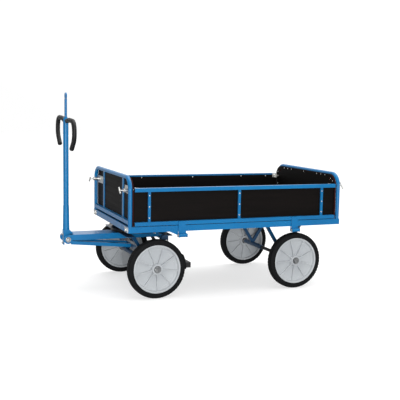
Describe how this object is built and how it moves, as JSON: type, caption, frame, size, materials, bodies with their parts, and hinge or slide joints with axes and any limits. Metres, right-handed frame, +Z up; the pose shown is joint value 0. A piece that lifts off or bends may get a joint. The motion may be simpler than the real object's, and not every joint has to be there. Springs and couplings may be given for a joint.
{
  "type": "garden cart",
  "caption": "Four-wheel hand-pulled garden cart with a plywood platform, fold-down side walls, fixed end walls, turntable steering, a sprung drawbar with grips and a tyre brake.",
  "frame": {"origin": "on the floor, midway between the foremost and rearmost points and on the centre line", "axes": "+X forwards towards the drawbar, +Y to the cart's left, +Z up"},
  "size_m": [1.983, 1.028, 1.364],
  "materials": {
    "blue_paint": "powder coated, semi-gloss",
    "film_plywood": "dark film-faced plywood, satin",
    "zinc": "bright zinc plated",
    "bare_steel": "turned",
    "black_paint": "satin",
    "brake_rubber": "matte",
    "grip_rubber": "matte",
    "tyre_rubber": "matte",
    "rim_plastic": "light grey moulded plastic",
    "bush_plastic": "dark bearing bush"
  },
  "bodies": {
    "chassis": {"deck_frame": "blue_paint", "deck_crossmembers": "blue_paint", "deck_panel": "film_plywood", "deck_screws": "zinc", "turntable_top_ring": "zinc", "turntable_balls": "bare_steel", "rear_axle_frame": "blue_paint", "rear_axle_shaft": "bare_steel", "rear_axle_nuts": "zinc", "side_hinge_brackets": "blue_paint", "side_hinge_pins": "zinc", "front_wall_frame": "blue_paint", "front_wall_panel": "film_plywood", "rear_wall_frame": "blue_paint", "rear_wall_panel": "film_plywood", "end_wall_rivets": "zinc", "wall_clamps": "zinc", "latch_housings": "zinc"},
    "left_wall": {"left_wall_frame": "blue_paint", "left_wall_panel": "film_plywood", "left_wall_keepers": "zinc", "left_wall_rivets": "zinc"},
    "right_wall": {"right_wall_frame": "blue_paint", "right_wall_panel": "film_plywood", "right_wall_keepers": "zinc", "right_wall_rivets": "zinc"},
    "steering": {"turntable_bottom_ring": "zinc", "steering_bars": "blue_paint", "draw_tongue": "blue_paint", "front_axle_frame": "blue_paint", "front_axle_shaft": "bare_steel", "front_axle_nuts": "zinc", "turntable_bolts": "zinc", "drawbar_pivot_bolt": "zinc", "drawbar_spring": "bare_steel", "brake_shaft": "bare_steel"},
    "drawbar": {"drawbar_tube": "blue_paint", "drawbar_foot": "blue_paint", "foot_bolts": "zinc", "tow_eye": "blue_paint", "handle_horns": "blue_paint", "handle_grips": "grip_rubber"},
    "brake": {"brake_frame": "black_paint", "brake_shoes": "brake_rubber"},
    "front_left_latch": {"front_left_latch_bolt": "zinc"},
    "front_left_wheel": {"front_left_tyre": "tyre_rubber", "front_left_rim": "rim_plastic", "front_left_hub_bush": "bush_plastic"},
    "front_right_latch": {"front_right_latch_bolt": "zinc"},
    "front_right_wheel": {"front_right_tyre": "tyre_rubber", "front_right_rim": "rim_plastic", "front_right_hub_bush": "bush_plastic"},
    "rear_left_latch": {"rear_left_latch_bolt": "zinc"},
    "rear_left_wheel": {"rear_left_tyre": "tyre_rubber", "rear_left_rim": "rim_plastic", "rear_left_hub_bush": "bush_plastic"},
    "rear_right_latch": {"rear_right_latch_bolt": "zinc"},
    "rear_right_wheel": {"rear_right_tyre": "tyre_rubber", "rear_right_rim": "rim_plastic", "rear_right_hub_bush": "bush_plastic"}
  },
  "joints": [
    {"name": "steering_swivel", "type": "hinge", "parent": "chassis", "child": "steering", "pos_m": [0.4415, 0, 0.41], "axis": [0, 0, 1], "range_deg": [-45, 45]},
    {"name": "drawbar_pivot", "type": "hinge", "parent": "steering", "child": "drawbar", "pos_m": [0.9595, 0, 0.36], "axis": [0, 1, 0], "range_deg": [0, 95], "stiffness_Nm_per_rad": 15, "springref_deg": -28.65},
    {"name": "brake_swing", "type": "hinge", "parent": "steering", "child": "brake", "pos_m": [0.2935, 0, 0.345], "axis": [0, 1, 0], "range_deg": [0, 6]},
    {"name": "left_wall_fold", "type": "hinge", "parent": "chassis", "child": "left_wall", "pos_m": [-0.1465, 0.502, 0.43], "axis": [-1, 0, 0], "range_deg": [0, 180]},
    {"name": "right_wall_fold", "type": "hinge", "parent": "chassis", "child": "right_wall", "pos_m": [-0.1465, -0.502, 0.43], "axis": [1, 0, 0], "range_deg": [0, 180]},
    {"name": "front_left_latch_slide", "type": "slide", "parent": "chassis", "child": "front_left_latch", "axis": [1, 0, 0], "range_m": [0, 0.02], "stiffness_N_per_m": 400, "springref_m": -0.01},
    {"name": "front_right_latch_slide", "type": "slide", "parent": "chassis", "child": "front_right_latch", "axis": [1, 0, 0], "range_m": [0, 0.02], "stiffness_N_per_m": 400, "springref_m": -0.01},
    {"name": "rear_left_latch_slide", "type": "slide", "parent": "chassis", "child": "rear_left_latch", "axis": [-1, 0, 0], "range_m": [0, 0.02], "stiffness_N_per_m": 400, "springref_m": -0.01},
    {"name": "rear_right_latch_slide", "type": "slide", "parent": "chassis", "child": "rear_right_latch", "axis": [-1, 0, 0], "range_m": [0, 0.02], "stiffness_N_per_m": 400, "springref_m": -0.01},
    {"name": "front_left_wheel_spin", "type": "hinge", "parent": "steering", "child": "front_left_wheel", "pos_m": [0.4415, 0.435, 0.2], "axis": [0, 1, 0], "continuous": true},
    {"name": "front_right_wheel_spin", "type": "hinge", "parent": "steering", "child": "front_right_wheel", "pos_m": [0.4415, -0.435, 0.2], "axis": [0, 1, 0], "continuous": true},
    {"name": "rear_left_wheel_spin", "type": "hinge", "parent": "chassis", "child": "rear_left_wheel", "pos_m": [-0.6015, 0.435, 0.2], "axis": [0, 1, 0], "continuous": true},
    {"name": "rear_right_wheel_spin", "type": "hinge", "parent": "chassis", "child": "rear_right_wheel", "pos_m": [-0.6015, -0.435, 0.2], "axis": [0, 1, 0], "continuous": true}
  ],
  "couplings": [
    {"joint": "brake_swing", "follows": "drawbar_pivot", "ratio": 0.06}
  ]
}
